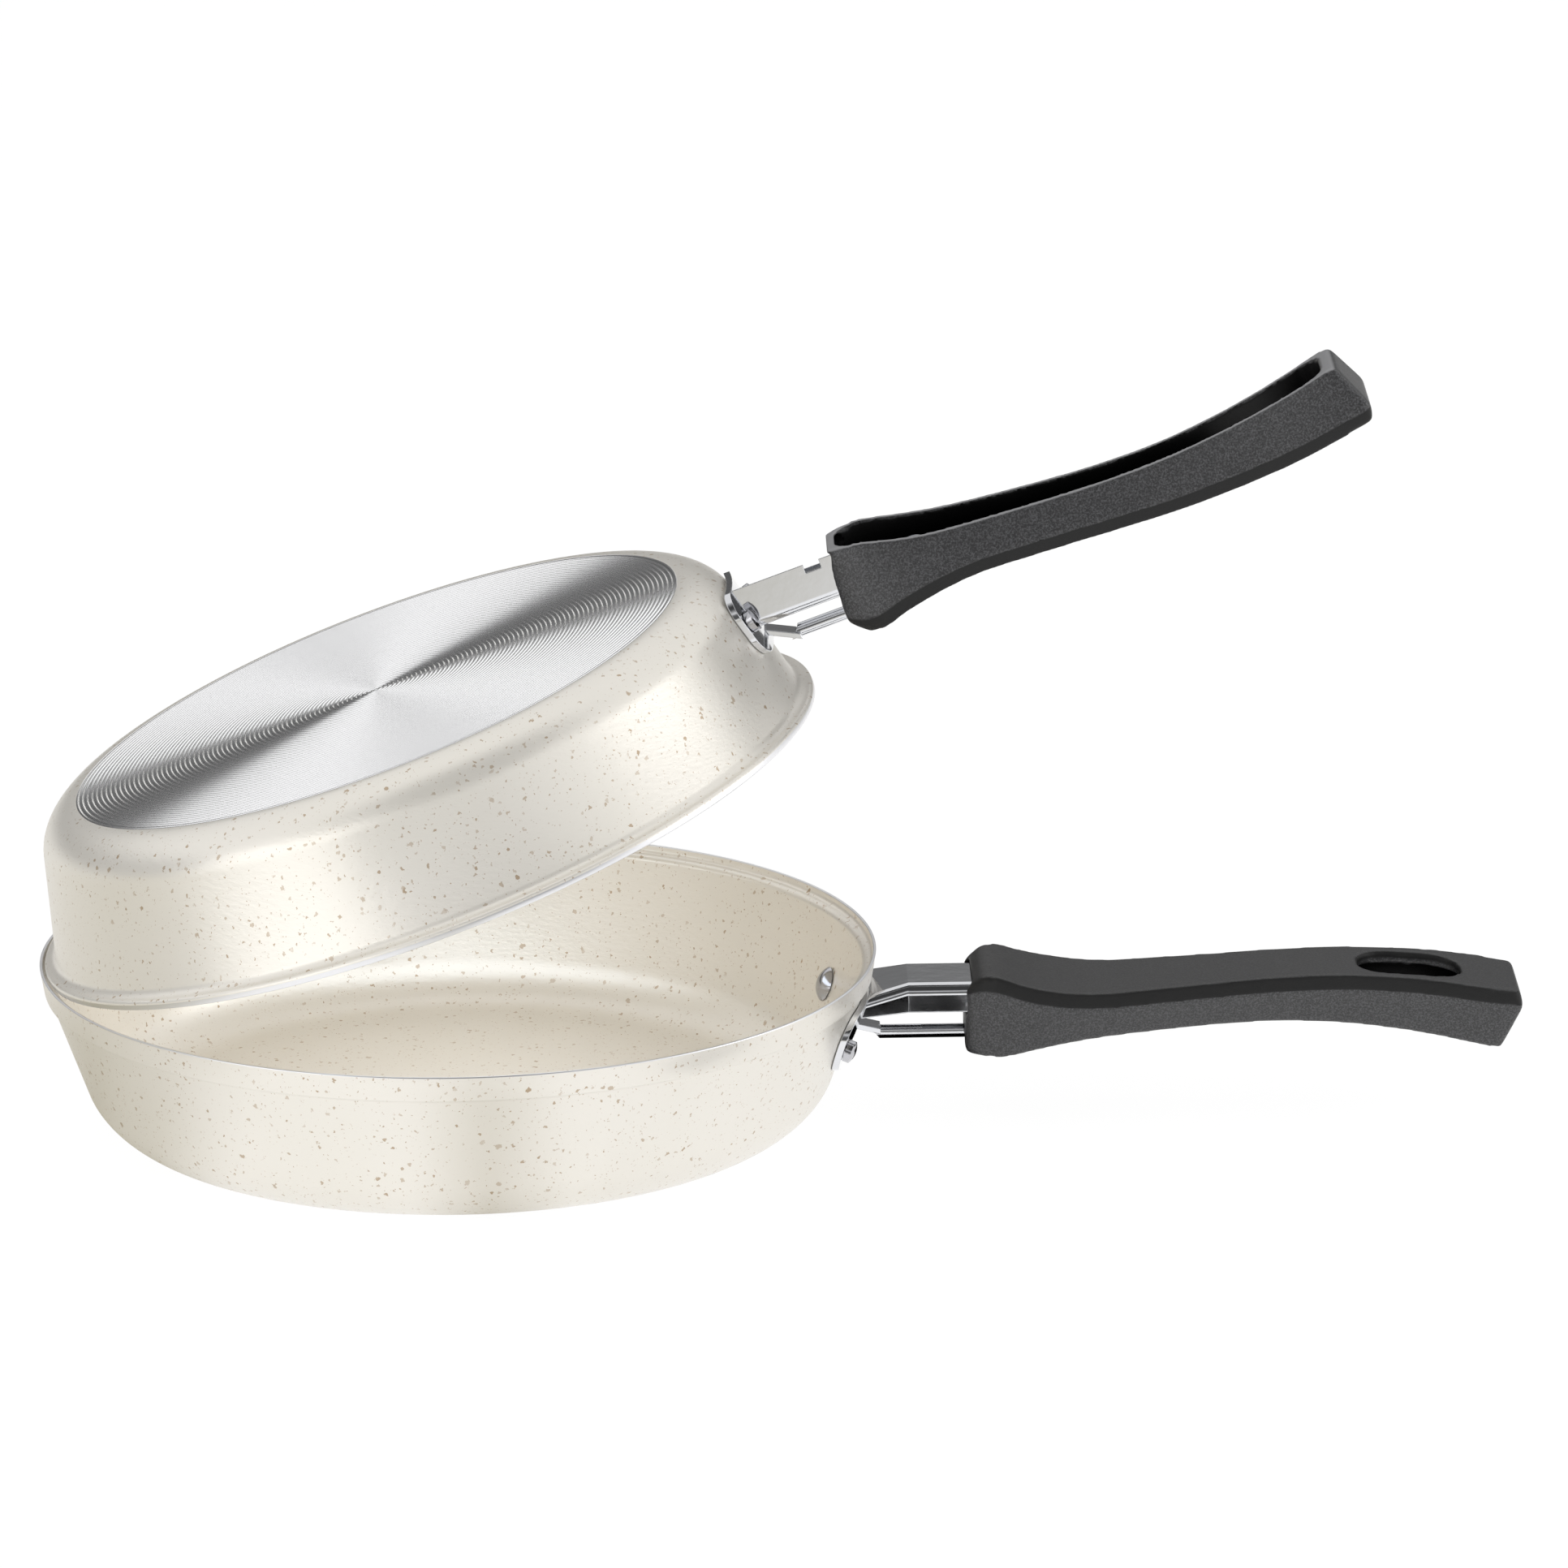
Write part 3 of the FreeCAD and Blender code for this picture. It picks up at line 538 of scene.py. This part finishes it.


# Floor.
# A white sheet that runs far behind the pans, so that it fills the view. The camera sees it
# nearly plain white with a faint shadow of the object. In reflections it glows instead, with two
# painted patches of light where the softboxes would throw them and painted shade between them.
def white_sheet():
    """White paper: plain to the camera, and in reflections a glowing sheet of painted light and
    shade that goes round it.
    """
    finish, tree, surface, place = new_finish("white_studio_sheet")
    paper = add(tree, "ShaderNodeBsdfDiffuse", {"Color": linear("F6F6F6")})
    plain = add(tree, "ShaderNodeEmission", {"Color": (1, 1, 1, 1), "Strength": 1.06})
    ray = add(tree, "ShaderNodeLightPath")
    share = add(tree, "ShaderNodeMath", {"operation": "MULTIPLY", 1: 0.9},
                {0: ray.outputs["Is Camera Ray"]})
    seen = add(tree, "ShaderNodeMixShader", None,
               {0: share.outputs[0], 1: paper.outputs[0], 2: plain.outputs[0]})
    around = add(tree, "ShaderNodeTexGradient", {"gradient_type": "RADIAL"}, {"Vector": place})
    # Painted light and shade round the floor, seen only in reflections.
    painted_light_and_shade_ramp = add(tree, "ShaderNodeValToRGB", None, {0: around.outputs["Fac"]})
    fill_ramp(painted_light_and_shade_ramp.color_ramp, (
        (0.0, 0.10), (0.083, 0.30), (0.140, 0.93), (0.230, 1.0), (0.266, 0.38), (0.305, 1.0),
        (0.40, 1.0), (0.5, 0.90), (0.62, 0.9), (0.88, 0.7), (1.0, 0.10)))
    # 968E72 is the warm colour of the painted shade.
    tint = add(tree, "ShaderNodeMix",
               {"data_type": "RGBA", 6: linear("968E72"), 7: (1, 1, 1, 1)},
               {0: painted_light_and_shade_ramp.outputs[0]})
    # The floor glows with this painted light and shade for reflected rays.
    painted_floor_glow = add(tree, "ShaderNodeEmission", {"Strength": 1.25}, {"Color": tint.outputs[2]})
    either = add(tree, "ShaderNodeMixShader", None,
                 {0: ray.outputs["Is Glossy Ray"], 1: seen.outputs[0], 2: painted_floor_glow.outputs[0]})
    tree.links.new(either.outputs[0], surface)
    return finish


sheet_side, sheet_shift = 14.0, 4.0
bpy.ops.mesh.primitive_plane_add(size=sheet_side, location=(0, 0, 0))
floor = bpy.context.object
floor.name = "studio_floor"
floor.data.transform(Matrix.Translation((0, sheet_shift, 0)))
floor.data.materials.append(white_sheet())

# Black cards.
# Two lie on the floor in front of the handles, and one hangs a little above it under the lower
# rod. They show only in reflections, where they give the chromed stems their dark bands.
card_finish, card_tree, card_surface, _ = new_finish("black_studio_card")
black = add(card_tree, "ShaderNodeBsdfDiffuse", {"Color": linear("101010")})
card_tree.links.new(black.outputs[0], card_surface)
for name, x_low, x_high, y_low, y_high, level in (
    ("channel_black_card", 0.109, 0.128, -0.124, -0.090, 0.0005),
    ("gusset_black_card", 0.140, 0.180, -0.128, -0.080, 0.0005),
    ("rod_black_card", 0.100, 0.124, -0.012, 0.030, 0.012),
):
    bpy.ops.mesh.primitive_plane_add(
        size=1, location=((x_low + x_high) / 2, (y_low + y_high) / 2, level))
    card = bpy.context.object
    card.name = name
    card.data.transform(Matrix.Diagonal((x_high - x_low, y_high - y_low, 1, 1)))
    card.data.materials.append(card_finish)
    card.visible_camera = False
    card.visible_diffuse = False
    card.visible_transmission = False
    card.visible_shadow = False

# Light.
# A pale room, with soft lamps at the front left, at the right, by the camera and overhead, and
# two small ones between the pans, clear of both at every pose: one lights the lower pan and the
# other shows in it. Reflected, the room is dark at eye level and high in front.
room = bpy.data.worlds.new("pale_room")
bpy.context.scene.world = room
room.use_nodes = True
room_tree = room.node_tree
room_tree.nodes.clear()
outlook = add(room_tree, "ShaderNodeTexCoord").outputs["Generated"]
ways = add(room_tree, "ShaderNodeSeparateXYZ", None, {0: outlook})
bands = add(room_tree, "ShaderNodeValToRGB", None, {0: ways.outputs["Z"]})
fill_ramp(bands.color_ramp, ((0.0, 0.12), (0.20, 0.12), (0.30, 0.22), (0.42, 1.0), (1.0, 1.0)))
right_wall = add(room_tree, "ShaderNodeMapRange",
                 {"From Min": 0.55, "From Max": 0.80, "To Min": 0.0, "To Max": 0.85},
                 {"Value": ways.outputs["X"]})
brighter = add(room_tree, "ShaderNodeMath", {"operation": "MAXIMUM"},
               {0: bands.outputs[0], 1: right_wall.outputs[0]})
facing = add(room_tree, "ShaderNodeVectorMath",
             {"operation": "DOT_PRODUCT", 1: (0, -0.53, 0.85)}, {0: outlook})
hood = add(room_tree, "ShaderNodeMapRange",
           {"From Min": 0.80, "From Max": 0.93, "To Min": 1.0, "To Max": 0.06},
           {"Value": facing.outputs["Value"]})
ray = add(room_tree, "ShaderNodeLightPath")
even = add(room_tree, "ShaderNodeBackground", {"Color": (1, 1, 1, 1), "Strength": 0.48})
banded = add(room_tree, "ShaderNodeBackground", None,
             {"Color": brighter.outputs[0], "Strength": hood.outputs[0]})
room_mix = add(room_tree, "ShaderNodeMixShader", None,
               {0: ray.outputs["Is Glossy Ray"], 1: even.outputs[0], 2: banded.outputs[0]})
room_output = add(room_tree, "ShaderNodeOutputWorld")
room_tree.links.new(room_mix.outputs[0], room_output.inputs["Surface"])

# Angles are in degrees round the aim from the camera's side, distances and sizes in metres.
aim = Vector((0, 0, 0.04))
for name, azimuth, elevation, distance, width, height, power, diffuse, mirrored, tint in (
    ("left_softbox", -48, 14, 1.4, 1.2, 0.7, 4.4, True, True, "FFFFFF"),
    ("right_softbox", 84, 18, 1.4, 1.0, 0.8, 4.0, True, True, "FFFFFF"),
    ("camera_softbox", 4, 13, 2.2, 0.8, 0.3, 10.0, True, False, "FFFFFF"),
    ("overhead_softbox", 0, 88, 1.6, 1.4, 1.4, 3.0, True, False, "FFFFFF"),
    ("mouth_softbox", 0, 90, 0.029, 0.11, 0.11, 0.036, True, False, "FFF8F0"),
    ("mouth_mirror_light", 0, 90, 0.026, 0.07, 0.12, 0.048, False, True, "E4F0FF"),
):
    turn, lift = math.radians(azimuth), math.radians(elevation)
    lamp = bpy.data.lights.new(name, "AREA")
    lamp.shape = "RECTANGLE"
    lamp.size, lamp.size_y = width, height
    lamp.energy = power
    lamp.color = linear(tint)[:3]
    holder = bpy.data.objects.new(name, lamp)
    bpy.context.scene.collection.objects.link(holder)
    holder.location = aim + distance * Vector(
        (math.sin(turn) * math.cos(lift), -math.cos(turn) * math.cos(lift), math.sin(lift)))
    holder.rotation_euler = (aim - holder.location).to_track_quat("-Z", "Y").to_euler()
    holder.visible_diffuse = diffuse
    holder.visible_glossy = mirrored
    holder.visible_camera = False

# Camera.
# It stands 2.4 m away, a little above the pans, and looks along the handles' side.
sensor = 36.0
frame_pixels = 1932
focal_pixels = 12000
camera_place = Vector((0.05057, -2.27466, 0.73406))
pitch, yaw, roll = 0.2786, -0.0129, -0.0110
ahead = Vector((-math.sin(yaw) * math.cos(pitch), math.cos(yaw) * math.cos(pitch),
                -math.sin(pitch)))
level = Vector((math.cos(yaw), math.sin(yaw), 0))
upright = level.cross(ahead)
right = math.cos(roll) * level + math.sin(roll) * upright
above = math.cos(roll) * upright - math.sin(roll) * level
camera = bpy.data.objects.new("camera", bpy.data.cameras.new("camera"))
camera.data.sensor_width = sensor
camera.data.lens = focal_pixels * sensor / frame_pixels
camera.data.clip_end = 50
camera.matrix_world = Matrix.Translation(camera_place) @ Matrix(
    (right, above, -ahead)).transposed().to_4x4()
bpy.context.scene.collection.objects.link(camera)
bpy.context.scene.camera = camera
bpy.context.scene.view_settings.view_transform = "Standard"
